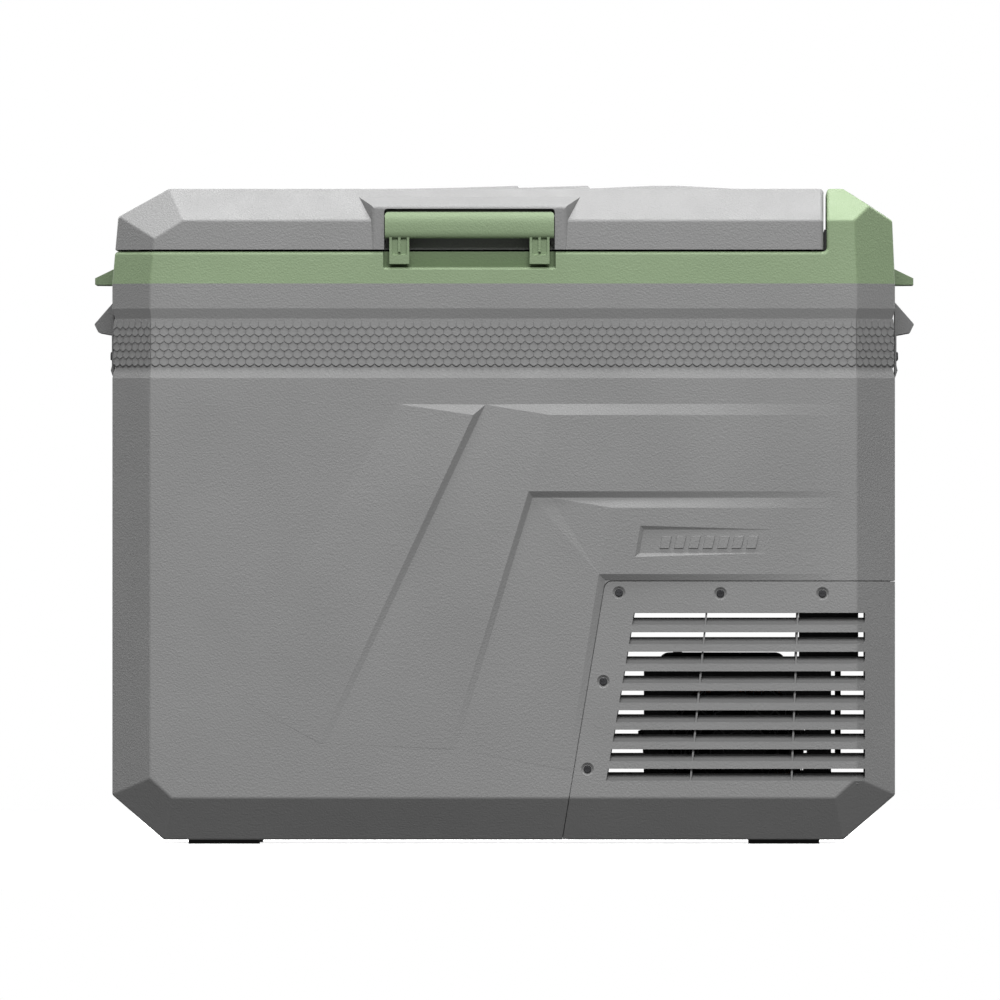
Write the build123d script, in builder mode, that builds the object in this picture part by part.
from build123d import *

import os

# Compressor cooler: a portable fridge with a rear-hinged lid, a snap latch, a control panel on a
# raised housing at the right, and a louvred machine bay at the lower right.
# Millimetres. +X right, +Y to the back, +Z up. The origin is the middle of the footprint, on the floor.

# ---- driving dimensions ----------------------------------------------------------------------
HALF_WIDTH = 282.0        # centre to the body's side wall
FRONT = -185.0            # front wall
BACK = 179.0              # back wall
MIDDLE = (FRONT + BACK) / 2
FLOOR = 3.0               # underside of the body, above its feet
BODY_TOP = 403.6          # outer shell meets the coloured frame
FRAME_TOP = 426.6         # frame surface that the lid closes on
LID_BOTTOM = 428.1
TOP = 472.0               # flat top of lid and panel housing
LID_RIGHT = 230.4
HOUSING_LEFT = 232.7
CORNER_CUT = 27.5         # 45 degree corners in plan
WALL = 4.0
COVER_WALL = 3.0
EDGE_ROUND = 3.0

BASE_SIDE_RISE = 35.3     # height where the sloping underside meets the side wall
BASE_FRONT_RISE = 33.1
BASE_SIDE_INSET = 37.3
BASE_FRONT_INSET = 26.4
BASE_FACET_X = 43.2       # corner facet's reach along the front

BAND_TOP = 385.7          # recessed decorative band round the body
BAND_BOTTOM = 335.5
BAND_BEVEL = 7.3
BAND_DEPTH = 1.8

BAY_TOP = 189.7           # machine bay, behind the louvred cover
BAY_LEFT_AT_TOP = 73.0
BAY_LEFT_AT_FLOOR = 42.0
BAY_ROUND = 6.0
SEAM = 0.6

TUB_LEFT, TUB_RIGHT = -243.0, 205.0
TUB_FRONT, TUB_BACK = -146.0, 140.0
TUB_FLOOR = 45.0
TUB_STEP_X, TUB_STEP_Z = 10.0, 232.0
TUB_ROUND = 20.0
LINER = 2.0
RIM, RIM_ROUND = 14.0, 30.0   # the liner's flange under the frame

SLOT_COUNT = 9
SLOT_PITCH = 14.04
SLOT_HEIGHT = 8.6
SLOT_TOP = 166.5
SLOT_RIGHT = 260.3
SLOT_LEFT_AT_TOP = 94.0

HINGE_Y, HINGE_Z = 184.0, 428.3
HINGE_RADIUS = 4.5
HINGE_PIN = 2.0
RUNNING = 0.05            # radial clearance of a pin that turns
HINGE_X = (-170.0, 122.0)

LATCH_MIDDLE = -24.5
LATCH_HALF = 60.9         # half the width of the latch bar
LATCH_FRONT = -186.5
LATCH_AXIS_Y, LATCH_AXIS_Z = -181.6, 451.8
LATCH_PIN = 1.5
LATCH_LEG_X = (-75.0, 26.0)
LATCH_LEG = 14.3
BOSS_FRONT = -184.0
POCKET_HALF = 61.5        # opening that the latch bar sits in
POCKET_BACK = -168.5
POCKET_TOP = 457.5
LEG_POCKET_BACK = -171.8   # deepest line of the leaning pocket in the frame, behind the legs

SOCKET_Y, SOCKET_Z = 70.0, 163.0

PANEL_SLOPE_TOP = (244.5, 472.0)
PANEL_SLOPE_FOOT = (280.4, 448.9)

os.makedirs("parts", exist_ok=True)


# ---- shared shapes -----------------------------------------------------------------------------
def block(x0, x1, y0, y1, z0, z1, mode=Mode.ADD):
    """A box given by its six faces."""
    with Locations(((x0 + x1) / 2, (y0 + y1) / 2, (z0 + z1) / 2)):
        Box(x1 - x0, y1 - y0, z1 - z0, mode=mode)


def cut_corner_plan(z, left, right, front, back, corner):
    """Plan outline at height z: a rectangle with its corners cut at 45 degrees."""
    with BuildSketch(Plane.XY.offset(z)) as plan:
        with Locations(((left + right) / 2, (front + back) / 2)):
            Rectangle(right - left, back - front)
        chamfer(plan.vertices(), corner)
    return plan.sketch


def rounded_plan(z, left, right, front, back, radius):
    """Plan outline at height z: a rectangle with round corners."""
    with BuildSketch(Plane.XY.offset(z)) as plan:
        with Locations(((left + right) / 2, (front + back) / 2)):
            RectangleRounded(right - left, back - front, radius)
    return plan.sketch


def bar_along_x(points, x0, x1, mode=Mode.ADD):
    """A bar with the closed outline of (y, z) points, from x0 to x1."""
    with BuildSketch(Plane.YZ.offset(x0)) as profile:
        with BuildLine():
            Polyline(*points, close=True)
        make_face()
    extrude(profile.sketch, amount=x1 - x0, dir=(1, 0, 0), mode=mode)


def bar_along_y(points, y0, y1, mode=Mode.ADD):
    """A bar with the closed outline of (x, z) points, from y0 to y1."""
    with BuildSketch(Plane.XZ.offset(-y0)) as profile:
        with BuildLine():
            Polyline(*points, close=True)
        make_face()
    extrude(profile.sketch, amount=y1 - y0, dir=(0, 1, 0), mode=mode)


def plane_through(a, b, c, inside):
    """Plane through three points, with its normal pointing away from the point inside."""
    start = Vector(*a)
    along = Vector(*b) - start
    normal = along.cross(Vector(*c) - start)
    if normal.dot(Vector(*inside) - start) > 0:
        normal = normal * -1
    return Plane(origin=start, x_dir=along, z_dir=normal)


def inset_corner(inset):
    """The 45 degree cut that keeps an even wall when the outline moves in by inset."""
    return CORNER_CUT - inset * (2 - 2 ** 0.5)


def base_facets():
    """Planes of the sloping faces round the underside: front, back, sides and four corners."""
    inside = (0, MIDDLE, BODY_TOP)

    def corner(side, wall, inwards):
        on_side = (side * HALF_WIDTH, wall + inwards * CORNER_CUT, BASE_SIDE_RISE)
        on_front = (side * (HALF_WIDTH - BASE_FACET_X), wall, BASE_FRONT_RISE)
        inner_x = side * (HALF_WIDTH - BASE_SIDE_INSET)
        on_floor = (inner_x, wall + inwards * BASE_FRONT_INSET, FLOOR)
        return on_side, on_front, on_floor

    planes = []
    for wall, inwards in ((FRONT, 1), (BACK, -1)):
        left, right = corner(-1, wall, inwards), corner(1, wall, inwards)
        planes.append(plane_through(left[1], right[1], left[2], inside))
        planes.append(plane_through(*left, inside))
        planes.append(plane_through(*right, inside))
    for side in (-1, 1):
        near, far = corner(side, FRONT, 1), corner(side, BACK, -1)
        planes.append(plane_through(near[0], far[0], near[2], inside))
    return planes


def body_form(inset):
    """The body below the frame, with every outer face moved inwards by inset."""
    with BuildPart() as form:
        add(
            cut_corner_plan(
                FLOOR + inset, inset - HALF_WIDTH, HALF_WIDTH - inset,
                FRONT + inset, BACK - inset, inset_corner(inset),
            )
        )
        extrude(amount=BODY_TOP - FLOOR - inset)
        for facet in base_facets():
            split(bisect_by=facet.offset(-inset), keep=Keep.BOTTOM)
    return form.part


def top_facets():
    """Planes of the sloping faces round the top: front, back, left, right and the left corners."""
    inside = (0, MIDDLE, BODY_TOP)
    planes = [
        plane_through((-277.4, 0, 452.0), (-277.4, 1, 452.0), (-241.2, 0, TOP), inside),
        plane_through(
            (PANEL_SLOPE_FOOT[0], 0, PANEL_SLOPE_FOOT[1]), (PANEL_SLOPE_FOOT[0], 1, PANEL_SLOPE_FOOT[1]),
            (PANEL_SLOPE_TOP[0], 0, PANEL_SLOPE_TOP[1]), inside,
        ),
    ]
    for wall, inwards in ((FRONT + 2.7, 1), (BACK, -1)):
        foot = (0, wall, 449.3)
        planes.append(plane_through(foot, (1, wall, 449.3), (0, wall + inwards * 26, TOP), inside))
        planes.append(
            plane_through(
                (-277.2, wall + inwards * 25.5, 450.4), (-230.8, wall, 449.3),
                (-241.4, wall + inwards * 26, TOP), inside,
            )
        )
    return planes


def upper_form(inset, bottom):
    """Lid, frame and panel housing as one block from bottom upwards, moved inwards by inset."""
    corner = inset_corner(inset)
    with BuildPart() as form:
        lower = cut_corner_plan(
            BODY_TOP, inset - HALF_WIDTH, HALF_WIDTH - inset, FRONT + inset, BACK - inset, corner
        )
        upper = cut_corner_plan(
            TOP - inset, inset - 276.0, 279.0 - inset, FRONT + inset + 4.0, BACK - inset, corner
        )
        loft(sections=[lower, upper], ruled=True)
        for facet in top_facets():
            split(bisect_by=facet.offset(-inset), keep=Keep.BOTTOM)
        if bottom > BODY_TOP:
            split(bisect_by=Plane.XY.offset(bottom), keep=Keep.TOP)
    return form.part


def bay_block(grow):
    """The machine bay's outline, right through the body from front to back, moved out by grow."""
    with BuildPart() as bay:
        with BuildSketch(Plane.XZ) as outline:
            with BuildLine():
                Polyline(
                    (BAY_LEFT_AT_FLOOR - 5, FLOOR - 30), (BAY_LEFT_AT_TOP, BAY_TOP),
                    (HALF_WIDTH + 60, BAY_TOP), (HALF_WIDTH + 60, FLOOR - 30), close=True,
                )
            make_face()
            fillet(outline.vertices().sort_by(Axis.Y)[-2:].sort_by(Axis.X)[0], BAY_ROUND)
            if grow:
                offset(amount=grow, kind=Kind.INTERSECTION)
        extrude(amount=400, both=True)
    return bay.part


def tub_outline(z, grow, radius):
    """Plan outline of the storage space's upper part at height z, moved outwards by grow."""
    return rounded_plan(
        z, TUB_LEFT - grow, TUB_RIGHT + grow, TUB_FRONT - grow, TUB_BACK + grow, radius
    )


def tub_space(grow, top):
    """The stepped storage space up to the height top, moved outwards by grow."""
    radius = TUB_ROUND + grow
    with BuildPart() as tub:
        add(rounded_plan(TUB_FLOOR - grow, TUB_LEFT - grow, TUB_STEP_X + grow,
                         TUB_FRONT - grow, TUB_BACK + grow, radius))
        extrude(amount=top - TUB_FLOOR + grow)
        add(tub_outline(TUB_STEP_Z - grow, grow, radius))
        extrude(amount=top - TUB_STEP_Z + grow)
    return tub.part


def save(part, name):
    """Label one finished piece and write it."""
    part.label = name
    export_step(part, f"parts/{name}.step")


# ---- outer shell -------------------------------------------------------------------------------
RELIEF = 3.5              # height of the facets above the wall
FADED = 0.12
UNDERLAP = 1.3            # facets run on a little way under the wall


def on_wall(x, z, proud=0.0):
    """A point on the front wall, or proud of it."""
    return Vector(x, FRONT - proud, z)


def in_line(a, b, z):
    """The point on the front wall at height z, in line with two crest points."""
    share = (z - a.Z) / (b.Z - a.Z)
    return on_wall(a.X + (b.X - a.X) * share, z)


def facet_section(*points):
    """A flat section whose first and last points run on under the wall, away from their crests."""
    points = list(points)
    points[0] = points[1] + (points[0] - points[1]) * UNDERLAP
    points[-1] = points[-2] + (points[-1] - points[-2]) * UNDERLAP
    return Face(Wire.make_polygon(points, close=True))


def front_relief():
    """Low facets on the front wall: two slanting ridges and two level ones, fading at their ends."""
    ridge_top = on_wall(-21.7, 308.9, RELIEF)
    ridge_left, ridge_right = on_wall(-76.0, 316.8), on_wall(-13.0, 316.4)
    slant_end = on_wall(-127.6, 72.7)
    band_start = on_wall(34.0, 308.9, RELIEF)
    second_top = on_wall(18.1, 254.0, RELIEF)
    second_corner = on_wall(20.9, 249.4)
    second_end = on_wall(-34.0, 68.4)
    third_start = on_wall(78.1, 242.1, RELIEF)
    cover_corner = on_wall(68.6, 194.4, RELIEF)
    seam_corner = on_wall(73.4, 189.7)
    top_line, groove_line, bevel_line = 316.9, 249.4, BAY_TOP
    band_foot = in_line(band_start, second_top, top_line)
    third_foot = in_line(third_start, cover_corner, groove_line)
    with BuildPart() as relief:
        loft(
            sections=[
                facet_section(ridge_left, ridge_top, ridge_right),
                facet_section(on_wall(-200, 110), on_wall(-132.6, 72.7, FADED), slant_end),
            ],
            ruled=True,
        )
        loft(
            sections=[
                facet_section(ridge_right, second_top, second_corner),
                facet_section(slant_end, on_wall(-39.2, 68.4, FADED), second_end),
            ],
            ruled=True,
        )
        ConvexPolyhedron([
            ridge_right, band_foot, band_start, second_top, second_corner,
            on_wall(ridge_right.X, ridge_right.Z, -1), on_wall(band_foot.X, top_line, -1),
            on_wall(second_corner.X, groove_line, -1),
        ])
        loft(
            sections=[
                facet_section(
                    band_foot, band_start, second_top, in_line(band_start, second_top, groove_line)
                ),
                facet_section(
                    on_wall(242.3, 316.9), on_wall(242.3, 308.9, FADED),
                    on_wall(242.3, 254.0, FADED), on_wall(242.3, 249.4),
                ),
            ],
            ruled=True,
        )
        loft(
            sections=[
                facet_section(second_corner, cover_corner, seam_corner),
                facet_section(second_end, on_wall(45.9, 53.3, FADED), on_wall(50.6, 53.3)),
            ],
            ruled=True,
        )
        # low facet that closes the gap between the slanting ridge and the level one
        ConvexPolyhedron([
            second_corner, on_wall(34.2, groove_line), cover_corner,
            on_wall(second_corner.X, groove_line, -1), on_wall(34.2, groove_line, -1),
            on_wall(cover_corner.X, cover_corner.Z, -1),
        ])
        ConvexPolyhedron([
            on_wall(34.2, groove_line), third_foot, third_start, cover_corner, seam_corner,
            on_wall(34.2, groove_line, -1), on_wall(third_foot.X, groove_line, -1),
            on_wall(seam_corner.X, bevel_line, -1),
        ])
        loft(
            sections=[
                facet_section(
                    third_foot, third_start, cover_corner, in_line(third_start, cover_corner, bevel_line)
                ),
                facet_section(
                    on_wall(236.5, 249.4), on_wall(236.5, 242.1, FADED),
                    on_wall(236.5, 194.4, FADED), on_wall(236.5, 189.7),
                ),
            ],
            ruled=True,
        )
    return relief.part


def rounded_body():
    """The body block with its outer edges softened."""
    with BuildPart() as body:
        add(body_form(0))
        soft = body.edges().filter_by(lambda edge: edge.center().Z < BODY_TOP - 1)
        fillet(soft, EDGE_ROUND)
    return body.part


def band_groove():
    """The shallow band round the body, with sloping upper and lower edges."""
    levels = (
        (BAND_BOTTOM, 0.0), (BAND_BOTTOM + BAND_BEVEL, BAND_DEPTH),
        (BAND_TOP - BAND_BEVEL, BAND_DEPTH), (BAND_TOP, 0.0),
    )
    core = [
        cut_corner_plan(
            z, depth - HALF_WIDTH, HALF_WIDTH - depth, FRONT + depth, BACK - depth, inset_corner(depth)
        )
        for z, depth in levels
    ]
    with BuildPart() as groove:
        block(-320, 320, FRONT - 20, BACK + 20, BAND_BOTTOM, BAND_TOP)
        loft(sections=core, ruled=True, mode=Mode.SUBTRACT)
    return groove.part


BADGE_FLOOR = 1.0
FLANGE_DEPTH = 3.5
FLANGE_WIDTH = 19.0
COVER_SCREWS = ((83.2, 181.0), (156.2, 180.4), (229.7, 180.4), (71.9, 117.1), (60.5, 54.0))
SCREW_RECESS = 3.1        # floor of the dished recess round each screw
SCREW_SHANK = 1.6

body_solid = rounded_body()
bay_solid = bay_block(0)
relief_solid = front_relief()


def cover_screw_holes(radius, y0, y1):
    """Holes for the cover's screws, between two depths behind the front wall."""
    with BuildPart() as holes:
        with BuildSketch(Plane.XZ.offset(-y1)):
            with Locations(*COVER_SCREWS):
                Circle(radius)
        extrude(amount=y1 - y0)
    return holes.part


with BuildPart() as foam_space:
    add(body_form(WALL))
    add(bay_block(WALL), mode=Mode.SUBTRACT)

# the lip that the louvred cover is screwed to, behind its seam right round the machine bay
with BuildPart() as cover_lip:
    add(body_form(COVER_WALL + 0.4))
    add(body_form(COVER_WALL + 0.4 + FLANGE_DEPTH), mode=Mode.SUBTRACT)
    block(-300, 300, MIDDLE, 300, 0, BODY_TOP, mode=Mode.SUBTRACT)
    add(bay_solid, mode=Mode.INTERSECT)
    add(bay_block(-FLANGE_WIDTH), mode=Mode.SUBTRACT)
    add(cover_screw_holes(SCREW_SHANK, FRONT, MIDDLE), mode=Mode.SUBTRACT)
    mirror(about=Plane.XZ.offset(-MIDDLE))
    block(255, 300, SOCKET_Y - 24.4, SOCKET_Y + 24.4, 130, BAY_TOP, mode=Mode.SUBTRACT)

with BuildPart() as outer_shell:
    add(body_solid)
    add(band_groove(), mode=Mode.SUBTRACT)
    add(relief_solid)
    with BuildSketch(Plane.XZ.offset(-FRONT + BADGE_FLOOR)):
        with BuildLine():
            Polyline((98.0, 209.6), (101.0, 226.4), (192.0, 226.4), (189.0, 209.6), close=True)
        make_face()
    extrude(amount=4, taper=-55, mode=Mode.SUBTRACT)
    mirror(relief_solid, about=Plane.XZ.offset(-MIDDLE))
    add(foam_space.part, mode=Mode.SUBTRACT)
    add(bay_solid, mode=Mode.SUBTRACT)
    add(cover_lip.part)
save(outer_shell.part, "outer_shell")


# ---- louvred cover of the machine bay -----------------------------------------------------------
VANE_REACH = 7.6
CORNER_START = HALF_WIDTH - CORNER_CUT
CAP_HINGE_X, CAP_HINGE_Z = 279.6, 180.6
CAP_BARREL = 3.3
CAP_WIDTH = 34.0
CAP_PIN = 1.0
SOCKET_RADIUS = 8.9


def slot_left(z):
    """Left end of a louvre slot at height z, in line with the cover's slanting edge."""
    return SLOT_LEFT_AT_TOP - (SLOT_TOP - z) * (BAY_LEFT_AT_TOP - BAY_LEFT_AT_FLOOR) / (BAY_TOP - FLOOR)


def slot_levels():
    """Top and bottom of each louvre slot."""
    tops = [SLOT_TOP - i * SLOT_PITCH for i in range(SLOT_COUNT)]
    return [(top, top - SLOT_HEIGHT) for top in tops]


def front_slots():
    """The slots, cut from in front of the wall to well behind it."""
    with BuildPart() as slots:
        with BuildSketch(Plane.XZ.offset(-FRONT + 10)) as rows:
            for top, bottom in slot_levels():
                with BuildLine():
                    Polyline(
                        (slot_left(top), top), (SLOT_RIGHT, top), (SLOT_RIGHT, bottom),
                        (slot_left(bottom), bottom), close=True,
                    )
                make_face()
            right_ends = rows.vertices().group_by(Axis.X)[-1].sort_by(Axis.Y)
            fillet(right_ends[::2], 3.4)
        extrude(amount=-30)
    return slots.part


def front_vanes():
    """A vane behind each bar, rising backwards and steeper at its end, and two ribs that tie them."""
    wall_in = FRONT + COVER_WALL
    with BuildPart() as vanes:
        for top, bottom in slot_levels():
            left = slot_left(bottom) - 1.5
            vane = [
                (wall_in - 0.6, bottom - 2.4), (wall_in - 0.6, bottom - 0.2),
                (wall_in + 3.6, bottom + 1.8), (wall_in + VANE_REACH, bottom + 5.2),
                (wall_in + VANE_REACH, bottom + 2.8), (wall_in + 4.4, bottom + 0.2),
            ]
            bar_along_x(vane, left, CORNER_START)
            with BuildSketch(Plane.YZ.offset(CORNER_START)) as section:
                with BuildLine():
                    Polyline(*vane, close=True)
                make_face()
            extrude(section.sketch, amount=(SLOT_RIGHT + 0.5 - CORNER_START) * 2 ** 0.5, dir=(1, 1, 0))
        for (top_x, low_x) in ((145.8, 133.6), (211.4, 206.6)):
            rib = [(top_x, 170.0), (top_x + 1.3, 170.0), (low_x + 1.3, 42.0), (low_x, 42.0)]
            bar_along_y(rib, wall_in - 0.4, wall_in + VANE_REACH - 0.4)
    return vanes.part


def cap_hinge_space():
    """Room for the power cap's barrel to turn, and the bore that holds its pin."""
    with BuildPart() as space:
        with Locations(Pos(CAP_HINGE_X, SOCKET_Y, CAP_HINGE_Z) * Rot(90, 0, 0)):
            Cylinder(CAP_BARREL + 0.6, CAP_WIDTH + 1)
            Cylinder(CAP_PIN, CAP_WIDTH + 10)
    return space.part


with BuildPart() as compressor_cover:
    add(body_solid)
    add(bay_block(-SEAM), mode=Mode.INTERSECT)
    add(body_form(COVER_WALL), mode=Mode.SUBTRACT)
    # the base plate closes the bottom
    block(0, HALF_WIDTH - BASE_SIDE_INSET, FRONT + BASE_FRONT_INSET, BACK - BASE_FRONT_INSET, 0, 10,
          mode=Mode.SUBTRACT)
    add(front_slots(), mode=Mode.SUBTRACT)
    add(front_vanes())
    for x, z in COVER_SCREWS:
        with Locations(Pos(x, FRONT + 0.8, z) * Rot(90, 0, 0)):
            Cone(SCREW_RECESS, SCREW_RECESS + 1.6, 1.6, mode=Mode.SUBTRACT)
    add(cover_screw_holes(SCREW_SHANK, FRONT - 1, FRONT + 20), mode=Mode.SUBTRACT)
    block(0, 400, MIDDLE, 300, 0, 300, mode=Mode.SUBTRACT)
    mirror(about=Plane.XZ.offset(-MIDDLE))
    # window for the power inlet and its cap
    block(HALF_WIDTH - 5, 300, SOCKET_Y - CAP_WIDTH / 2 - 0.5, SOCKET_Y + CAP_WIDTH / 2 + 0.5,
          SOCKET_Z - 15.5, CAP_HINGE_Z, mode=Mode.SUBTRACT)
    add(cap_hinge_space(), mode=Mode.SUBTRACT)
save(compressor_cover.part, "compressor_cover")

with BuildPart() as socket_housing:
    block(262, HALF_WIDTH - COVER_WALL, SOCKET_Y - 24, SOCKET_Y + 24, SOCKET_Z - 22, CAP_HINGE_Z + 6)
    add(cap_hinge_space(), mode=Mode.SUBTRACT)
    with Locations(Pos(270, SOCKET_Y, SOCKET_Z) * Rot(0, 90, 0)):
        Cylinder(SOCKET_RADIUS + 0.1, 30, mode=Mode.SUBTRACT)
save(socket_housing.part, "socket_housing")


def screw(head_radius, head_height, shank_radius, length):
    """A cross-slotted screw standing on its tip's end: head on top, +Z out of the hole."""
    with BuildPart() as body:
        Cylinder(shank_radius, length, align=(Align.CENTER, Align.CENTER, Align.MAX))
        Cylinder(head_radius, head_height, align=(Align.CENTER, Align.CENTER, Align.MIN))
        chamfer(body.edges().group_by(Axis.Z)[-1], head_height * 0.35)
        block(-head_radius * 0.6, head_radius * 0.6, -0.35, 0.35, head_height * 0.5, head_height,
              mode=Mode.SUBTRACT)
        block(-0.35, 0.35, -head_radius * 0.6, head_radius * 0.6, head_height * 0.5, head_height,
              mode=Mode.SUBTRACT)
    return body.part


with BuildPart() as cover_screws:
    front_screw = screw(2.8, 1.4, 1.5, 9.0)
    for x, z in COVER_SCREWS:
        with Locations(Pos(x, FRONT + 1.6, z) * Rot(90, 0, 0)):
            add(front_screw)
        with Locations(Pos(x, BACK - 1.6, z) * Rot(-90, 0, 0)):
            add(front_screw)
save(cover_screws.part, "cover_screws")

with BuildPart() as base_plate:
    block(BAY_LEFT_AT_FLOOR + 4, HALF_WIDTH - BASE_SIDE_INSET - 0.4, FRONT + BASE_FRONT_INSET + 0.4,
          BACK - BASE_FRONT_INSET - 0.4, FLOOR, FLOOR + 3)
    fillet(base_plate.edges().filter_by(Axis.Z), 4)
    with BuildSketch(Plane.XY.offset(FLOOR)):
        with Locations((76, MIDDLE), (226, MIDDLE)):
            with GridLocations(1, 24, 1, 6):
                SlotOverall(20, 6)
    extrude(amount=6, mode=Mode.SUBTRACT)
save(base_plate.part, "base_plate")


# ---- insulation, liner and evaporator -------------------------------------------------------------
with BuildPart() as frame_cavity:
    add(upper_form(3.0, BODY_TOP))
    block(-320, HOUSING_LEFT + 3, -300, 300, FRAME_TOP - 3, 520, mode=Mode.SUBTRACT)
    add(tub_outline(BODY_TOP - 1, 3, TUB_ROUND + 3))
    extrude(amount=60, mode=Mode.SUBTRACT)
    # solid wall left behind the latch pocket
    block(LATCH_MIDDLE - 66, LATCH_MIDDLE + 66, -300, LEG_POCKET_BACK + 3, 410, 440, mode=Mode.SUBTRACT)

with BuildPart() as inner_liner:
    add(tub_space(LINER, BODY_TOP))
    add(tub_outline(BODY_TOP - LINER, RIM, RIM_ROUND))
    extrude(amount=LINER)
    add(tub_space(0, BODY_TOP + 1), mode=Mode.SUBTRACT)
save(inner_liner.part, "inner_liner")

COLD_TOP, COLD_BOTTOM, COLD_SHEET = 215.0, 70.0, 1.5
COLD_CHANNELS = range(84, 204, 20)


def deep_outline(z, grow):
    """Plan outline of the deep part of the storage space at height z, moved outwards by grow."""
    return rounded_plan(
        z, TUB_LEFT - grow, TUB_STEP_X + grow, TUB_FRONT - grow, TUB_BACK + grow, TUB_ROUND + grow
    )


with BuildPart() as evaporator_plate:
    add(deep_outline(COLD_BOTTOM, LINER + COLD_SHEET))
    extrude(amount=COLD_TOP - COLD_BOTTOM)
    for z in COLD_CHANNELS:
        add(deep_outline(z, LINER + COLD_SHEET + 2.5))
        extrude(amount=7)
    add(deep_outline(COLD_BOTTOM, LINER))
    extrude(amount=COLD_TOP - COLD_BOTTOM, mode=Mode.SUBTRACT)
save(evaporator_plate.part, "evaporator_plate")

with BuildPart() as insulation_foam:
    add(foam_space.part)
    add(frame_cavity.part)
    block(-320, 320, -300, 300, FRAME_TOP - 3, 520, mode=Mode.SUBTRACT)
    add(tub_space(LINER, BODY_TOP + 30), mode=Mode.SUBTRACT)
    add(tub_outline(BODY_TOP - LINER, RIM, RIM_ROUND))
    extrude(amount=LINER, mode=Mode.SUBTRACT)
    add(tub_outline(BODY_TOP, 3, TUB_ROUND + 3))
    extrude(amount=40, mode=Mode.SUBTRACT)
    add(evaporator_plate.part, mode=Mode.SUBTRACT)
save(insulation_foam.part, "insulation_foam")


# ---- coloured top frame with the panel housing ------------------------------------------------------
WING_HALF = 84.0
panel_middle = (Vector(*PANEL_SLOPE_TOP) + Vector(*PANEL_SLOPE_FOOT)) * 0.5
panel_run = (Vector(*PANEL_SLOPE_FOOT) - Vector(*PANEL_SLOPE_TOP)).normalized()
PANEL = Plane(
    origin=(panel_middle.X, MIDDLE - 40, panel_middle.Y), x_dir=(0, 1, 0),
    z_dir=(-panel_run.Y, 0, panel_run.X),
)
PANEL_OUT = Axis(PANEL.origin, PANEL.z_dir)
PANEL_LENGTH, PANEL_WIDTH, PANEL_SINK = 168.0, 33.0, 3.0
BUTTON_U = (12.0, 30.0, 48.0, 66.0)
DISPLAY_U = -40.0


def side_wing(side):
    """A thin wing along one side of the frame, its ends cut back."""
    root, tip = side * (HALF_WIDTH - 1), side * 295.6
    outline = [(root, 403.6), (tip, 403.6), (tip, 408.2), (side * 280.0, 415.6), (side * 276, 415.6),
               (side * 276, 403.6)]
    with BuildPart() as wing:
        bar_along_y(outline, MIDDLE - WING_HALF, MIDDLE + WING_HALF)
        for end in (-1, 1):
            wall, root_y = side * HALF_WIDTH, MIDDLE + end * WING_HALF
            tip_y = MIDDLE + end * (WING_HALF - 16)
            split(
                bisect_by=plane_through((wall, root_y, 403), (wall, root_y, 420), (tip, tip_y, 403),
                                        (0, MIDDLE, 403)),
                keep=Keep.BOTTOM,
            )
        add(upper_form(0, BODY_TOP), mode=Mode.SUBTRACT)
    return wing.part


with BuildPart() as upper_outside:
    add(upper_form(0, BODY_TOP))
    block(-320, HOUSING_LEFT, -300, 300, FRAME_TOP, 520, mode=Mode.SUBTRACT)
    fillet(upper_outside.edges().filter_by(lambda edge: edge.center().Z > BODY_TOP + 1), 2.6)

with BuildPart() as top_frame:
    add(upper_outside.part)
    add(frame_cavity.part, mode=Mode.SUBTRACT)
    add(tub_outline(BODY_TOP - 1, 0, TUB_ROUND))
    extrude(amount=60, mode=Mode.SUBTRACT)
    # pocket for the latch legs, open at the top and the front
    leg_pocket = [
        (-200, 413.4), (-184.6, 413.4), (-183.0, 415.0), (LEG_POCKET_BACK, 416.2),
        (-177.2, 427.0), (-177.2, 440), (-200, 440),
    ]
    bar_along_x(leg_pocket, LATCH_MIDDLE - POCKET_HALF - 0.6, LATCH_MIDDLE + POCKET_HALF + 0.6,
                mode=Mode.SUBTRACT)
    with BuildSketch(PANEL):
        RectangleRounded(PANEL_LENGTH, PANEL_WIDTH, 4)
    extrude(amount=-PANEL_SINK, mode=Mode.SUBTRACT)
    with BuildSketch(PANEL):
        Rectangle(PANEL_LENGTH - 10, PANEL_WIDTH - 8)
    extrude(amount=-12, mode=Mode.SUBTRACT)
save(top_frame.part, "top_frame")
save(side_wing(-1), "frame_wing_left")
save(side_wing(1), "frame_wing_right")

with BuildPart() as housing_seal:
    seal = [(224.0, FRAME_TOP), (224.0, FRAME_TOP + 1.1), (231.0, FRAME_TOP + 1.1), (231.0, 442.5),
            (HOUSING_LEFT, 442.5), (HOUSING_LEFT, FRAME_TOP)]
    bar_along_y(seal, FRONT + 8, BACK - 12)
    add(top_frame.part, mode=Mode.SUBTRACT)
save(housing_seal.part, "housing_seal")

with BuildPart() as latch_keepers:
    for x in LATCH_LEG_X:
        catch = [(-173.9, 420.4), (-178.4, 421.6), (-178.4, 423.4), (-176.4, 425.4)]
        bar_along_x(catch, x - LATCH_LEG / 2, x + LATCH_LEG / 2)
save(latch_keepers.part, "latch_keepers")


# ---- control panel -------------------------------------------------------------------------------
def panel_block(u, v, length, width, low, high, radius=0.8, mode=Mode.ADD):
    """A flat piece on the sloping panel: u along it, v down its slope, between two heights."""
    with BuildSketch(PANEL.offset(low)) as outline:
        with Locations((u, v)):
            RectangleRounded(length, width, radius)
    extrude(outline.sketch, amount=high - low, dir=PANEL.z_dir, mode=mode)


BUTTON_SIZE = (14.0, 10.0)
DISPLAY_SIZE = (62.0, 21.0)

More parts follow.
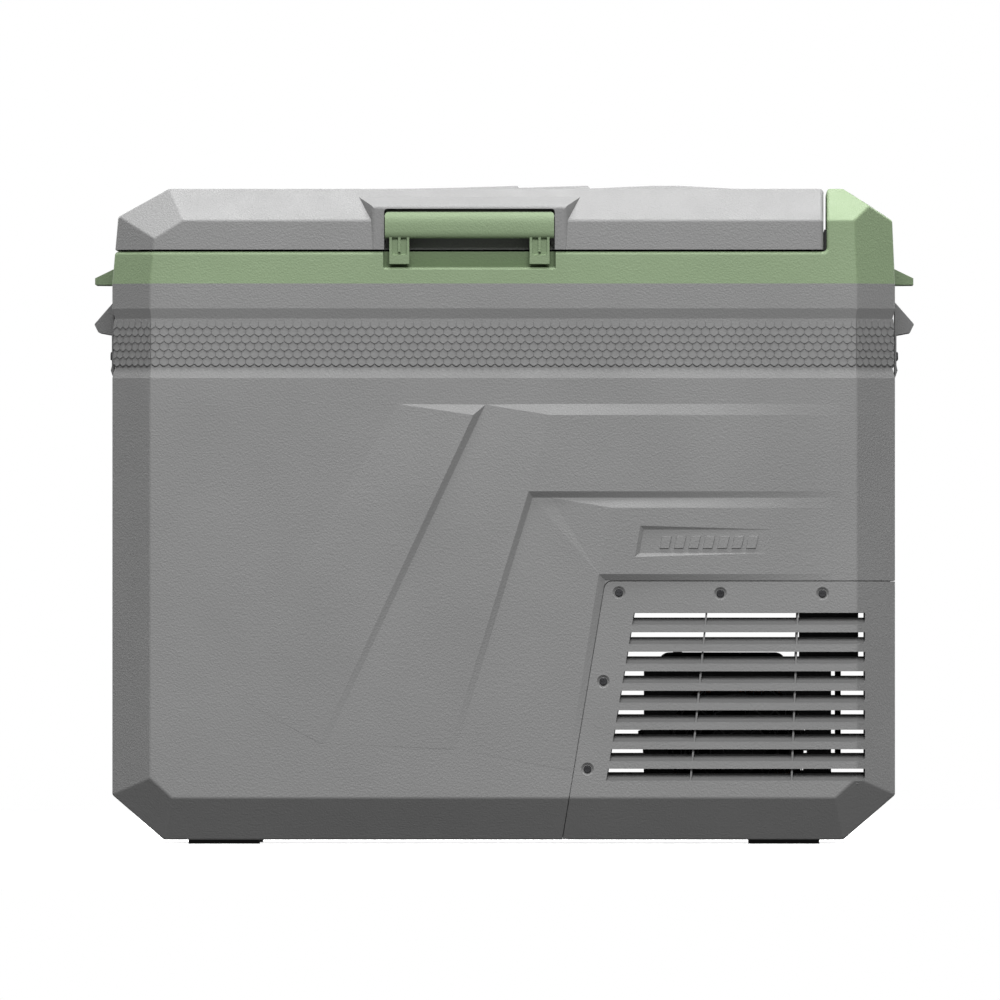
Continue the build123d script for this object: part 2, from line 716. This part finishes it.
with BuildPart() as panel_bezel:
    panel_block(0, 0, PANEL_LENGTH - 0.6, PANEL_WIDTH - 0.6, -PANEL_SINK, 0.4, 3.7)
    chamfer(panel_bezel.faces().sort_by(PANEL_OUT)[-1].edges(), 0.5)
    panel_block(DISPLAY_U, 0, *DISPLAY_SIZE, -0.8, 2, 2, mode=Mode.SUBTRACT)
    panel_block(DISPLAY_U, 0, DISPLAY_SIZE[0] - 6, DISPLAY_SIZE[1] - 6, -4, 2, 2, mode=Mode.SUBTRACT)
    for u in BUTTON_U:
        panel_block(u, 0, BUTTON_SIZE[0] + 0.7, BUTTON_SIZE[1] + 0.7, -4, 2, 3.3, mode=Mode.SUBTRACT)
save(panel_bezel.part, "panel_bezel")

with BuildPart() as display_lens:
    panel_block(DISPLAY_U, 0, DISPLAY_SIZE[0] - 0.4, DISPLAY_SIZE[1] - 0.4, -0.8, 0.3, 1.8)
save(display_lens.part, "display_lens")

with BuildPart() as panel_board:
    panel_block(0, 0, PANEL_LENGTH - 24, PANEL_WIDTH - 10, -7.4, -5.8)
    panel_block(DISPLAY_U, 0, DISPLAY_SIZE[0] - 8, DISPLAY_SIZE[1] - 8, -5.8, -2.0)
    for u in BUTTON_U:
        panel_block(u, 0, 6, 6, -5.8, -4.9)
save(panel_board.part, "panel_board")

for name, u in zip(("button_power", "button_set", "button_up", "button_down"), BUTTON_U):
    with BuildPart() as button:
        panel_block(u, 0, *BUTTON_SIZE, -3.4, 1.4, 3)
        fillet(button.faces().sort_by(PANEL_OUT)[-1].edges(), 0.8)
        panel_block(u, 0, 4, 4, -3.9, -3.4)
    save(button.part, name)


# ---- lid -----------------------------------------------------------------------------------------
LINER_PLATE_Z = 430.2
PLUG_BOTTOM = 415.0
PLUG_GAP, PLUG_WALL = 4.0, 2.5
PLUG_INSIDE = PLUG_GAP + PLUG_WALL
GASKET_LEFT, GASKET_RIGHT = -254.0, 222.0
GASKET_FRONT, GASKET_BACK = -160.0, 156.0
LID_RELIEF = 4.3
LID_SCREWS = [(x, y) for x in (-262.0, 207.5) for y in (-130.0, -3.0, 124.0)]
LID_SCREW_SHANK = 1.5


def on_lid(x, y, high):
    """A point on the lid's flat top, or above it."""
    return Vector(x, y, TOP + high)


def lid_ridge(left, crest_left, crest_right, right, skew):
    """A low ridge along the lid that rises towards the back and slants across it."""
    low_y, high_y, back_y = -140.0, 60.0, 128.0
    with BuildPart() as ridge:
        sections = []
        for y, height, shift in ((low_y, FADED, -skew), (high_y, LID_RELIEF, 0.0)):
            points = [on_lid(left + shift, y, 0), on_lid(crest_left + shift, y, height)]
            if crest_right > crest_left:
                points.append(on_lid(crest_right + shift, y, height))
            points.append(on_lid(right + shift, y, 0))
            sections.append(facet_section(*points))
        loft(sections=sections, ruled=True)
        slope = [on_lid(left, high_y, 0), on_lid(crest_left, high_y, LID_RELIEF)]
        end = [on_lid(left, back_y, 0), on_lid(crest_left, back_y, FADED)]
        if crest_right > crest_left:
            slope.append(on_lid(crest_right, high_y, LID_RELIEF))
            end.append(on_lid(crest_right, back_y, FADED))
        slope.append(on_lid(right, high_y, 0))
        end.append(on_lid(right, back_y, 0))
        loft(sections=[facet_section(*slope), facet_section(*end)], ruled=True)
    return ridge.part


with BuildPart() as lid_cavity:
    add(upper_form(3.0, LID_BOTTOM))
    block(LID_RIGHT - 3, 400, -300, 300, 300, 600, mode=Mode.SUBTRACT)
    # walls of the latch pocket and the finger space under the bar
    block(LATCH_MIDDLE - POCKET_HALF - 2.5, LATCH_MIDDLE + POCKET_HALF + 2.5, -300, POCKET_BACK + 2.5,
          400, 459.7, mode=Mode.SUBTRACT)

with BuildPart() as lid_shell:
    add(upper_form(0, LID_BOTTOM))
    block(LID_RIGHT, 400, -300, 300, 300, 600, mode=Mode.SUBTRACT)
    lower_right = lid_shell.edges().filter_by(Axis.Y).sort_by(Axis.X)[-1]
    fillet(lid_shell.edges().filter_by(lambda edge: edge.center().Z > LID_BOTTOM + 1) + [lower_right], 2.8)
    with BuildSketch(Plane.XZ.offset(-BOSS_FRONT)):
        with Locations((LATCH_MIDDLE, (LID_BOTTOM + 459.4) / 2)):
            Rectangle(140.0, 459.4 - LID_BOTTOM)
    with BuildSketch(Plane.XZ.offset(158.0)):
        with Locations((LATCH_MIDDLE, (LID_BOTTOM + 467.6) / 2)):
            Rectangle(164.0, 467.6 - LID_BOTTOM)
    loft()
    boss_edges = lid_shell.edges().filter_by(
        lambda edge: abs(edge.center().Y - BOSS_FRONT) < 0.1 and edge.center().Z > 440
        and edge.length > 4
    )
    fillet(boss_edges, 3.0)
    add(lid_ridge(-76.0, 9.0, 9.0, 12.0, 70))
    add(lid_ridge(-20.0, 57.0, 60.0, 64.0, 70))
    add(lid_ridge(64.0, 107.0, 126.0, 207.0, 50))
    add(lid_cavity.part, mode=Mode.SUBTRACT)
    # latch pocket
    with BuildSketch(Plane.XZ.offset(200)) as mouth:
        with Locations((LATCH_MIDDLE, (POCKET_TOP + 400) / 2)):
            Rectangle(2 * POCKET_HALF, POCKET_TOP - 400)
        fillet(mouth.vertices().group_by(Axis.Y)[-1], 2.6)
    extrude(amount=-(200 + POCKET_BACK), mode=Mode.SUBTRACT)
    with Locations(Pos(LATCH_MIDDLE, LATCH_AXIS_Y, LATCH_AXIS_Z) * Rot(0, 90, 0)):
        Cylinder(LATCH_PIN, 2 * POCKET_HALF + 3.6, mode=Mode.SUBTRACT)
save(lid_shell.part, "lid_shell")

with BuildPart() as lid_liner:
    add(upper_form(3.05, LINER_PLATE_Z))
    block(LID_RIGHT - 3.05, 400, -300, 300, 300, 600, mode=Mode.SUBTRACT)
    block(-400, 400, -300, 300, LINER_PLATE_Z + 2.5, 600, mode=Mode.SUBTRACT)
    block(LATCH_MIDDLE - POCKET_HALF - 2.6, LATCH_MIDDLE + POCKET_HALF + 2.6, -300, POCKET_BACK + 2.6,
          400, 459.7, mode=Mode.SUBTRACT)
    add(tub_outline(PLUG_BOTTOM, -PLUG_GAP, TUB_ROUND - PLUG_GAP))
    extrude(amount=LINER_PLATE_Z - PLUG_BOTTOM)
    fillet(lid_liner.edges().group_by(Axis.Z)[0], 5)
    add(tub_outline(PLUG_BOTTOM + PLUG_WALL, -PLUG_INSIDE, TUB_ROUND - PLUG_INSIDE))
    extrude(amount=30, mode=Mode.SUBTRACT)
    add(tub_outline(PLUG_BOTTOM, -38, 14))
    extrude(amount=1.2, mode=Mode.SUBTRACT)
    with Locations(*[(x, y, LINER_PLATE_Z) for x, y in LID_SCREWS]):
        Cylinder(LID_SCREW_SHANK, 20, mode=Mode.SUBTRACT)
save(lid_liner.part, "lid_liner")

with BuildPart() as lid_foam:
    add(lid_cavity.part)
    block(-400, 400, -300, 300, 300, LINER_PLATE_Z + 2.5, mode=Mode.SUBTRACT)
    add(tub_outline(PLUG_BOTTOM + PLUG_WALL, -PLUG_INSIDE, TUB_ROUND - PLUG_INSIDE))
    extrude(amount=LINER_PLATE_Z - PLUG_BOTTOM)
    with Locations(*[(x, y, LINER_PLATE_Z) for x, y in LID_SCREWS]):
        Cylinder(LID_SCREW_SHANK, 20, mode=Mode.SUBTRACT)
save(lid_foam.part, "lid_foam")

with BuildPart() as lid_gasket:
    seal_root = LINER_PLATE_Z - 1.6
    for z0, z1, wide in ((FRAME_TOP + 0.15, seal_root, 5.0), (seal_root, LINER_PLATE_Z, 8.0)):
        add(rounded_plan(z0, GASKET_LEFT, GASKET_RIGHT, GASKET_FRONT, GASKET_BACK, 24))
        extrude(amount=z1 - z0)
        add(rounded_plan(z0, GASKET_LEFT + wide, GASKET_RIGHT - wide, GASKET_FRONT + wide,
                         GASKET_BACK - wide, 24 - wide))
        extrude(amount=z1 - z0, mode=Mode.SUBTRACT)
save(lid_gasket.part, "lid_gasket")


# ---- latch ---------------------------------------------------------------------------------------
with BuildPart() as latch_bar:
    front, low, high = LATCH_FRONT, 436.1, 455.2
    back = LATCH_AXIS_Y + 3.2
    with BuildSketch(Plane.YZ.offset(LATCH_MIDDLE)) as section:
        with BuildLine():
            Spline((front + 3.0, low), (front + 0.9, low + 1.6), (front, low + 6.5),
                   (front + 0.8, high - 4.0), (front + 3.0, high))
            Polyline((front + 3.0, high), (back, high), (back, high - 7.0), (front + 5.0, high - 9.0),
                     (front + 5.0, low + 1.0), (front + 3.0, low))
        make_face()
    extrude(amount=LATCH_HALF, both=True)
    top_corners = latch_bar.edges().filter_by(Axis.Y).group_by(Axis.Z)[-1]
    fillet(top_corners, 2.6)
    for x in LATCH_LEG_X:
        left, right = x - LATCH_LEG / 2, x + LATCH_LEG / 2
        leg = [
            (front + 4.4, low + 3), (front + 4.4, 425.0), (front + 1.6, 424.0), (front + 1.6, 417.8),
            (front + 2.2, 417.4), (-179.2, 417.4), (-178.8, 418.0), (-178.8, 419.6), (-180.4, 421.4),
            (-180.4, low + 3),
        ]
        bar_along_x(leg, left, right)
        for rib, foot in ((left, 424.0), (x - 0.9, 426.5), (right - 1.8, 424.0)):
            bar_along_x([(front + 1.6, low + 3), (front + 1.6, foot), (front + 4.6, foot),
                         (front + 4.6, low + 3)], rib, rib + 1.8)
    with Locations(Pos(LATCH_MIDDLE, LATCH_AXIS_Y, LATCH_AXIS_Z) * Rot(0, 90, 0)):
        Cylinder(LATCH_PIN + RUNNING, 2 * LATCH_HALF + 2, mode=Mode.SUBTRACT)
save(latch_bar.part, "latch_bar")

with BuildPart() as latch_pin:
    with Locations(Pos(LATCH_MIDDLE, LATCH_AXIS_Y, LATCH_AXIS_Z) * Rot(0, 90, 0)):
        Cylinder(LATCH_PIN, 2 * POCKET_HALF + 3.4)
save(latch_pin.part, "latch_pin")


# ---- hinges --------------------------------------------------------------------------------------
KNUCKLE = 16.0
KNUCKLE_GAP = 0.4
HINGE_SPAN = 3 * KNUCKLE + 2 * KNUCKLE_GAP


def hinge_barrel(x0, x1, bore):
    """A length of hinge barrel with its bore."""
    with BuildPart() as barrel:
        with Locations(Pos((x0 + x1) / 2, HINGE_Y, HINGE_Z) * Rot(0, 90, 0)):
            Cylinder(HINGE_RADIUS, x1 - x0)
            Cylinder(bore, x1 - x0 + 2, mode=Mode.SUBTRACT)
    return barrel.part


with BuildPart() as hinge_brackets:
    for x in HINGE_X:
        start = x - HINGE_SPAN / 2
        block(start - 6, start + HINGE_SPAN + 6, BACK, BACK + 2.4, 405.5, 419.0)
        for x0 in (start, start + 2 * (KNUCKLE + KNUCKLE_GAP)):
            bar_along_x([(BACK, 418), (BACK, 424.0), (HINGE_Y, 428.3), (HINGE_Y + 4.4, 427.4),
                         (BACK + 2.4, 418)], x0, x0 + KNUCKLE)
            add(hinge_barrel(x0, x0 + KNUCKLE, HINGE_PIN + RUNNING))
    with BuildSketch(Plane.XZ.offset(-BACK)):
        with Locations(*[(x + dx, 411.5) for x in HINGE_X for dx in (-20, 20)]):
            Circle(1.7)
    extrude(amount=-10, mode=Mode.SUBTRACT)
    for x in HINGE_X:
        for x0 in (x - HINGE_SPAN / 2, x + KNUCKLE / 2 + KNUCKLE_GAP):
            with Locations(Pos(x0 + KNUCKLE / 2, HINGE_Y, HINGE_Z) * Rot(0, 90, 0)):
                Cylinder(HINGE_PIN + RUNNING, KNUCKLE + 0.2, mode=Mode.SUBTRACT)
save(hinge_brackets.part, "hinge_brackets")

with BuildPart() as lid_hinge_leaves:
    for x in HINGE_X:
        x0, x1 = x - KNUCKLE / 2, x + KNUCKLE / 2
        block(x - HINGE_SPAN / 2 - 6, x + HINGE_SPAN / 2 + 6, BACK, BACK + 2.4, 435.5, 447.5)
        bar_along_x([(BACK, 436), (BACK, 431.5), (HINGE_Y, 428.3), (HINGE_Y + 4.4, 429.2),
                     (BACK + 2.4, 436)], x0, x1)
        add(hinge_barrel(x0, x1, HINGE_PIN + RUNNING))
        with Locations(Pos(x, HINGE_Y, HINGE_Z) * Rot(0, 90, 0)):
            Cylinder(HINGE_PIN + RUNNING, KNUCKLE + 0.2, mode=Mode.SUBTRACT)
    with BuildSketch(Plane.XZ.offset(-BACK)):
        with Locations(*[(x + dx, 441.5) for x in HINGE_X for dx in (-20, 20)]):
            Circle(1.7)
    extrude(amount=-10, mode=Mode.SUBTRACT)
save(lid_hinge_leaves.part, "lid_hinge_leaves")

with BuildPart() as hinge_pins:
    for x in HINGE_X:
        with Locations(Pos(x, HINGE_Y, HINGE_Z) * Rot(0, 90, 0)):
            Cylinder(HINGE_PIN, HINGE_SPAN + 1.0)
save(hinge_pins.part, "hinge_pins")

leaf_screw = screw(2.6, 1.2, 1.6, 2.3)
for name, z in (("hinge_screws", 411.5), ("lid_hinge_screws", 441.5)):
    with BuildPart() as screws:
        for x in HINGE_X:
            for dx in (-20, 20):
                with Locations(Pos(x + dx, BACK + 2.4, z) * Rot(-90, 0, 0)):
                    add(leaf_screw)
    save(screws.part, name)


# ---- side grips and feet ---------------------------------------------------------------------------
GRIP_HALF = 80.0
GRIP_TIP = 296.2
GRIP_SCREW_Z = 352.0


def side_grip(side):
    """A hooded grip on a thin plate that bridges the band, hollow underneath for the fingers."""
    wall = side * HALF_WIDTH
    hood = [
        (wall, 391.0), (side * GRIP_TIP, 375.0), (side * 293.3, 369.1), (side * 283.4, 367.3),
        (side * 283.4, 345.0), (side * 284.2, 341.6), (wall, 335.1),
    ]
    pocket = [
        (side * 284.8, 360.0), (side * 284.8, 385.0), (side * 292.0, 376.8), (side * 292.0, 360.0),
    ]
    with BuildPart() as grip:
        bar_along_y(hood, MIDDLE - GRIP_HALF, MIDDLE + GRIP_HALF)
        for end in (-1, 1):
            root_y, tip_y = MIDDLE + end * GRIP_HALF, MIDDLE + end * (GRIP_HALF - 15)
            split(
                bisect_by=plane_through((wall, root_y, 391), (wall, root_y - end * 3, 335),
                                        (side * GRIP_TIP, tip_y, 375), (wall, MIDDLE, 375)),
                keep=Keep.BOTTOM,
            )
        crest = grip.edges().filter_by(Axis.Y).filter_by(lambda edge: abs(edge.center().X) > 290)
        fillet(crest, 1.2)
        bar_along_y(pocket, MIDDLE - GRIP_HALF + 20, MIDDLE + GRIP_HALF - 20, mode=Mode.SUBTRACT)
        with Locations(Pos(wall, MIDDLE, GRIP_SCREW_Z) * Rot(0, 90, 0)):
            with GridLocations(1, 100, 1, 2):
                Cylinder(1.7, 10, mode=Mode.SUBTRACT)
    return grip.part


save(side_grip(-1), "side_grip_left")
save(side_grip(1), "side_grip_right")

with BuildPart() as grip_screws:
    plate_screw = screw(3.0, 1.3, 1.6, 1.3)
    for side in (-1, 1):
        for dy in (-50, 50):
            with Locations(Pos(side * 283.4, MIDDLE + dy, GRIP_SCREW_Z) * Rot(0, side * 90, 0)):
                add(plate_screw)
save(grip_screws.part, "grip_screws")

with BuildPart() as rubber_feet:
    for x in (-201.6, 201.9):
        for y in (MIDDLE - 128, MIDDLE + 128):
            block(x - 25.6, x + 25.6, y - 16, y + 16, 0, FLOOR)
    fillet(rubber_feet.edges().filter_by(Axis.Z), 3)
save(rubber_feet.part, "rubber_feet")


# ---- machine bay ----------------------------------------------------------------------------------
PLATE_TOP = FLOOR + 3
COMPRESSOR_X, COMPRESSOR_Y = 157.5, 34.0
COMPRESSOR_EDGE = COMPRESSOR_X + 58.0
COMPRESSOR_TOP = 138.0
COIL_LEFT, COIL_RIGHT = 101.0, 236.0
COIL_FRONT, COIL_BACK = -112.0, -76.0
FAN_X, FAN_Z = 168.5, 70.0
FAN_BORE = 50.0
FAN_FRONT, FAN_BACK = -150.0, -122.0

with BuildPart() as compressor:
    with BuildSketch(Plane.XZ.offset(-COMPRESSOR_Y)) as shell_half:
        with BuildLine():
            Polyline((COMPRESSOR_X, 22), (COMPRESSOR_X + 44, 22), (COMPRESSOR_X + 56, 34),
                     (COMPRESSOR_EDGE, 76), (COMPRESSOR_EDGE + 3, 77), (COMPRESSOR_EDGE + 3, 81),
                     (COMPRESSOR_EDGE - 2, 83), (COMPRESSOR_X + 55, 116),
                     (COMPRESSOR_X + 43, COMPRESSOR_TOP), (COMPRESSOR_X, COMPRESSOR_TOP), close=True)
        make_face()
    revolve(axis=Axis((COMPRESSOR_X, COMPRESSOR_Y, 0), (0, 0, 1)))
    rims = compressor.edges().filter_by(GeomType.CIRCLE).group_by(Axis.Z)
    fillet(rims[-1] + rims[0], 8)
    for side in (-1, 1):
        block(COMPRESSOR_X - 62, COMPRESSOR_X + 62, COMPRESSOR_Y + side * 48 - 10,
              COMPRESSOR_Y + side * 48 + 10, 18, 23)
    block(COMPRESSOR_X - 20, COMPRESSOR_X + 20, COMPRESSOR_Y - 50, COMPRESSOR_Y + 50, 18, 24)
    with Locations((COMPRESSOR_X, COMPRESSOR_Y, 18)):
        with GridLocations(108, 96, 2, 2):
            Cylinder(4.2, 20, mode=Mode.SUBTRACT)
save(compressor.part, "compressor")

with BuildPart() as compressor_grommets:
    with Locations((COMPRESSOR_X, COMPRESSOR_Y, PLATE_TOP)):
        with GridLocations(108, 96, 2, 2):
            Cylinder(8, 12, align=(Align.CENTER, Align.CENTER, Align.MIN))
            Cylinder(4.1, 18, align=(Align.CENTER, Align.CENTER, Align.MIN))
save(compressor_grommets.part, "compressor_grommets")

COIL_PASSES = 5
PASS_PITCH = 20.0
FIN_PITCH = 5.8
TUBE = 3.0
coil_y = (COIL_FRONT + COIL_BACK) / 2
pass_levels = [30.0 + i * PASS_PITCH for i in range(COIL_PASSES)]

with BuildPart() as condenser_fins:
    count = int((COIL_RIGHT - COIL_LEFT - 28) / FIN_PITCH)
    first = (COIL_LEFT + COIL_RIGHT - count * FIN_PITCH) / 2
    for i in range(count + 1):
        thick = 1.4 if i in (0, count) else 0.7
        low = PLATE_TOP if i in (0, count) else 16
        block(first + i * FIN_PITCH - thick / 2, first + i * FIN_PITCH + thick / 2, COIL_FRONT, COIL_BACK,
              low, 124)
    with Locations(*[Pos(FAN_X, coil_y, z) * Rot(0, 90, 0) for z in pass_levels]):
        Cylinder(TUBE + 0.1, 160, mode=Mode.SUBTRACT)
save(condenser_fins.part, "condenser_fins")

with BuildPart() as condenser_tube:
    bend = PASS_PITCH / 2
    near, far = COIL_LEFT + bend + TUBE, COIL_RIGHT - bend - TUBE
    with BuildLine(Plane.XZ.offset(-coil_y)) as route:
        for i, z in enumerate(pass_levels):
            start, end = (near, far) if i % 2 == 0 else (far, near)
            Line((start, z), (end, z))
            if i < COIL_PASSES - 1:
                ThreePointArc((end, z), (end + (bend if i % 2 == 0 else -bend), z + bend),
                              (end, z + PASS_PITCH))
    with BuildSketch(Plane(origin=(near, coil_y, pass_levels[0]), z_dir=(1, 0, 0))):
        Circle(TUBE)
    sweep()
save(condenser_tube.part, "condenser_tube")

with BuildPart() as fan_frame:
    block(COIL_LEFT, COIL_RIGHT, FAN_FRONT, FAN_FRONT + 3, PLATE_TOP, 126)
    block(COIL_LEFT, COIL_RIGHT, FAN_BACK - 3, FAN_BACK, PLATE_TOP, 126)
    for x in (COIL_LEFT, COIL_RIGHT - 3):
        block(x, x + 3, FAN_FRONT, FAN_BACK, PLATE_TOP, 126)
    with Locations(Pos(FAN_X, (FAN_FRONT + FAN_BACK) / 2, FAN_Z) * Rot(90, 0, 0)):
        Cylinder(FAN_BORE + 2.5, FAN_BACK - FAN_FRONT)
        Cylinder(FAN_BORE, FAN_BACK - FAN_FRONT + 2, mode=Mode.SUBTRACT)
    with Locations(Pos(FAN_X, FAN_BACK, FAN_Z) * Rot(90, 0, 0)):
        Cylinder(20, 4, align=(Align.CENTER, Align.CENTER, Align.MIN))
        with PolarLocations(34, 4, start_angle=45):
            Box(34, 3.4, 4, align=(Align.CENTER, Align.CENTER, Align.MIN))
        Cylinder(2.5, 12, align=(Align.CENTER, Align.CENTER, Align.MIN))
save(fan_frame.part, "fan_frame")

BLADES = 7
with BuildPart() as fan_rotor:
    with Locations(Pos(FAN_X, FAN_BACK - 4.8, FAN_Z) * Rot(90, 0, 0)):
        Cylinder(20, 18, align=(Align.CENTER, Align.CENTER, Align.MIN))
        Cylinder(2.55, 9, align=(Align.CENTER, Align.CENTER, Align.MIN), mode=Mode.SUBTRACT)
        with PolarLocations(0, BLADES):
            with Locations(Pos(33, 0, 9) * Rot(38, 0, 0)):
                Box(28, 24, 1.6)
save(fan_rotor.part, "fan_rotor")

with BuildPart() as control_box:
    block(213, 255.6, -140, -20, 128, 172)
    fillet(control_box.edges().filter_by(Axis.Y), 3)
    block(220, 249, -140, -20, 172, 185.6)
save(control_box.part, "control_box")

with BuildPart() as heat_sink:
    block(216, 252, -20, -17, 130, 170)
    for i in range(6):
        block(218 + i * 6, 219.4 + i * 6, -17, -8, 130, 170)
save(heat_sink.part, "heat_sink")

with BuildPart() as filter_drier:
    with Locations(Pos(111, -50, 112) * Rot(90, 0, 0)):
        Cylinder(9, 44)
        Cylinder(3, 50)
    fillet(filter_drier.edges().filter_by(GeomType.CIRCLE).filter_by(lambda edge: edge.radius > 8), 5)
save(filter_drier.part, "filter_drier")


def copper_line(points, radius, bend):
    """A bent copper tube along straight runs joined by arcs."""
    with BuildPart() as line:
        with BuildLine() as route:
            FilletPolyline(*points, radius=bend)
        with BuildSketch(Plane(origin=points[0], z_dir=Vector(*points[1]) - Vector(*points[0]))):
            Circle(radius)
        sweep()
    return line.part


DISCHARGE_RUN = [
    (COMPRESSOR_EDGE - 2, 50, 60), (241, 50, 60), (241, -60, 60), (241, -60, 124), (241, -94, 124),
    (241, -94, 112),
]
SUCTION_RUN = [(126, 90, 84), (126, 120, 84), (126, 120, 143.5), (67, 120, 143.5)]
LIQUID_RUN = [(111, -24.5, 112), (111, -14, 112), (111, -14, 129), (64, -14, 129)]
save(copper_line(DISCHARGE_RUN, 2.2, 6), "discharge_line")
save(copper_line(SUCTION_RUN, 3.0, 9), "suction_line")
save(copper_line(LIQUID_RUN, 1.6, 5), "liquid_line")

with BuildPart() as power_socket:
    with Locations(Pos(279.4, SOCKET_Y, SOCKET_Z) * Rot(0, -90, 0)):
        Cylinder(SOCKET_RADIUS, 17, align=(Align.CENTER, Align.CENTER, Align.MIN))
        Cylinder(7.0, 14, align=(Align.CENTER, Align.CENTER, Align.MIN), mode=Mode.SUBTRACT)
        with Locations((0, 0, 11)):
            Cylinder(3.0, 3, align=(Align.CENTER, Align.CENTER, Align.MIN))
save(power_socket.part, "power_socket")

with BuildPart() as socket_cap:
    with Locations(Pos(CAP_HINGE_X, SOCKET_Y, CAP_HINGE_Z) * Rot(90, 0, 0)):
        Cylinder(CAP_BARREL, CAP_WIDTH - 0.6)
    block(280.0, 282.0, SOCKET_Y - CAP_WIDTH / 2 + 0.3, SOCKET_Y + CAP_WIDTH / 2 - 0.3,
          SOCKET_Z - 15.0, CAP_HINGE_Z)
    with Locations(Pos(CAP_HINGE_X, SOCKET_Y, CAP_HINGE_Z) * Rot(90, 0, 0)):
        Cylinder(CAP_PIN + RUNNING, CAP_WIDTH, mode=Mode.SUBTRACT)
save(socket_cap.part, "socket_cap")

with BuildPart() as socket_cap_pin:
    with Locations(Pos(CAP_HINGE_X, SOCKET_Y, CAP_HINGE_Z) * Rot(90, 0, 0)):
        Cylinder(CAP_PIN, CAP_WIDTH + 9)
save(socket_cap_pin.part, "socket_cap_pin")

with BuildPart() as cabin_lamp:
    block(60, 100, TUB_BACK - 3, TUB_BACK, 372, 384)
    fillet(cabin_lamp.faces().sort_by(Axis.Y)[0].edges(), 1.2)
save(cabin_lamp.part, "cabin_lamp")

with BuildPart() as lid_screws:
    panel_screw = screw(3.0, 1.3, LID_SCREW_SHANK, 8.0)
    for x, y in LID_SCREWS:
        with Locations(Pos(x, y, LINER_PLATE_Z) * Rot(180, 0, 0)):
            add(panel_screw)
save(lid_screws.part, "lid_screws")
